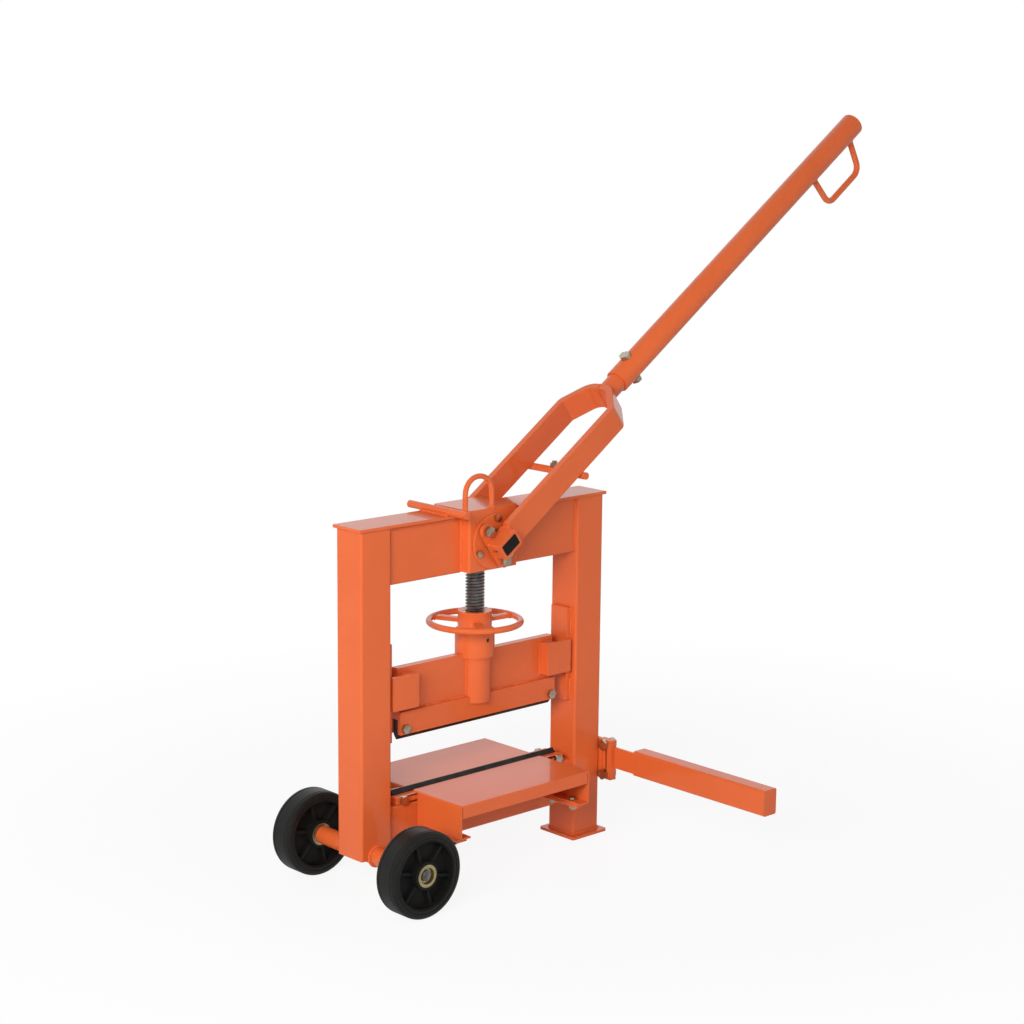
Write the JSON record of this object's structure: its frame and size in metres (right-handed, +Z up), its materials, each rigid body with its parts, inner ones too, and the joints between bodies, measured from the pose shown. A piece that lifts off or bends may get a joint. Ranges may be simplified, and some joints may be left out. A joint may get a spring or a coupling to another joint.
{
  "type": "masonry block splitter",
  "caption": "Hand-operated block splitter: a portal frame on wheels with a forked lever that presses a height-adjustable upper blade down on a stone lying over a lower blade.",
  "frame": {"origin": "centre of the foot plate's underside, on the floor under the right post", "axes": "+X along the portal from the wheels towards the foot and the lever's handle, +Y towards the rear table, away from the stabiliser arm, +Z up"},
  "size_m": [1.4437, 0.631, 1.4054],
  "materials": {
    "paint": "glossy orange powder coat",
    "zinc": "zinc plated, slightly yellow",
    "black_steel": "black, satin",
    "dark_steel": "dark, oiled",
    "bronze": "machined bronze",
    "black_plastic": "matte black",
    "black_rubber": "satin black"
  },
  "bodies": {
    "frame": {"left_post": "paint", "right_post": "paint", "foot_plate": "paint", "top_plates": "paint", "left_beam": "paint", "right_beam": "paint", "head_housing": "paint", "front_bearing": "paint", "rear_bearing": "paint", "bearing_bolts": "zinc", "spindle_bush": "bronze", "lifting_eye": "paint", "left_stop_bar": "paint", "right_stop_bar": "paint", "stop_stud": "zinc", "lower_beam": "paint", "blade_cheeks": "paint", "lower_blade": "black_steel", "lower_blade_bolts": "zinc", "guide_rails": "paint", "front_table": "paint", "rear_table": "paint", "table_bars": "paint", "table_bolts": "zinc", "axle_sleeve": "paint", "axle": "dark_steel", "axle_rings": "zinc", "arm_lug": "paint", "arm_bolts": "zinc"},
    "lever": {"eccentric_shaft": "dark_steel", "front_socket": "paint", "rear_socket": "paint", "socket_plugs": "black_plastic", "drive_bolts": "zinc", "front_arm": "paint", "rear_arm": "paint", "handle_stub": "paint", "handle_tube": "paint", "handle_cap": "paint", "hand_guard": "paint", "handle_bolt": "zinc"},
    "press": {"yoke_head": "dark_steel", "spindle": "dark_steel"},
    "carriage": {"blade_plates": "paint", "nut_tube": "paint", "grub_screws": "black_steel", "guide_claws": "paint", "blade_apron": "paint", "upper_blade": "black_steel", "upper_blade_bolts": "zinc"},
    "handwheel": {"handwheel": "paint", "spindle_nut": "bronze"},
    "front_wheel": {"front_tyre": "black_rubber", "front_wheel_core": "black_plastic", "front_wheel_bush": "zinc"},
    "rear_wheel": {"rear_tyre": "black_rubber", "rear_wheel_core": "black_plastic", "rear_wheel_bush": "zinc"},
    "stabiliser": {"stabiliser_arm": "paint", "stabiliser_cap": "paint"}
  },
  "joints": [
    {"name": "lever_swing", "type": "hinge", "parent": "frame", "child": "lever", "pos_m": [-0.267, 0, 0.63], "axis": [0, -1, 0], "range_deg": [0, 95]},
    {"name": "press_stroke", "type": "slide", "parent": "frame", "child": "press", "axis": [0, 0, 1], "range_m": [0, 0.0133]},
    {"name": "height_adjust", "type": "slide", "parent": "press", "child": "carriage", "axis": [0, 0, 1], "range_m": [-0.0851, 0.0421]},
    {"name": "handwheel_turn", "type": "hinge", "parent": "carriage", "child": "handwheel", "pos_m": [-0.267, 0, 0.47], "axis": [0, 0, 1], "range_deg": [-5100, 2520]},
    {"name": "front_wheel_spin", "type": "hinge", "parent": "frame", "child": "front_wheel", "pos_m": [-0.534, -0.151, 0.08], "axis": [0, 1, 0], "continuous": true},
    {"name": "rear_wheel_spin", "type": "hinge", "parent": "frame", "child": "rear_wheel", "pos_m": [-0.534, 0.151, 0.08], "axis": [0, 1, 0], "continuous": true},
    {"name": "stabiliser_fold", "type": "hinge", "parent": "frame", "child": "stabiliser", "pos_m": [0.0467, -0.05, 0.181], "axis": [-1, 0, 0], "range_deg": [0, 90]}
  ],
  "couplings": [
    {"joint": "press_stroke", "follows": "lever_swing", "m_per_rad": 0.008},
    {"joint": "height_adjust", "follows": "handwheel_turn", "m_per_rad": 0.00095493}
  ]
}
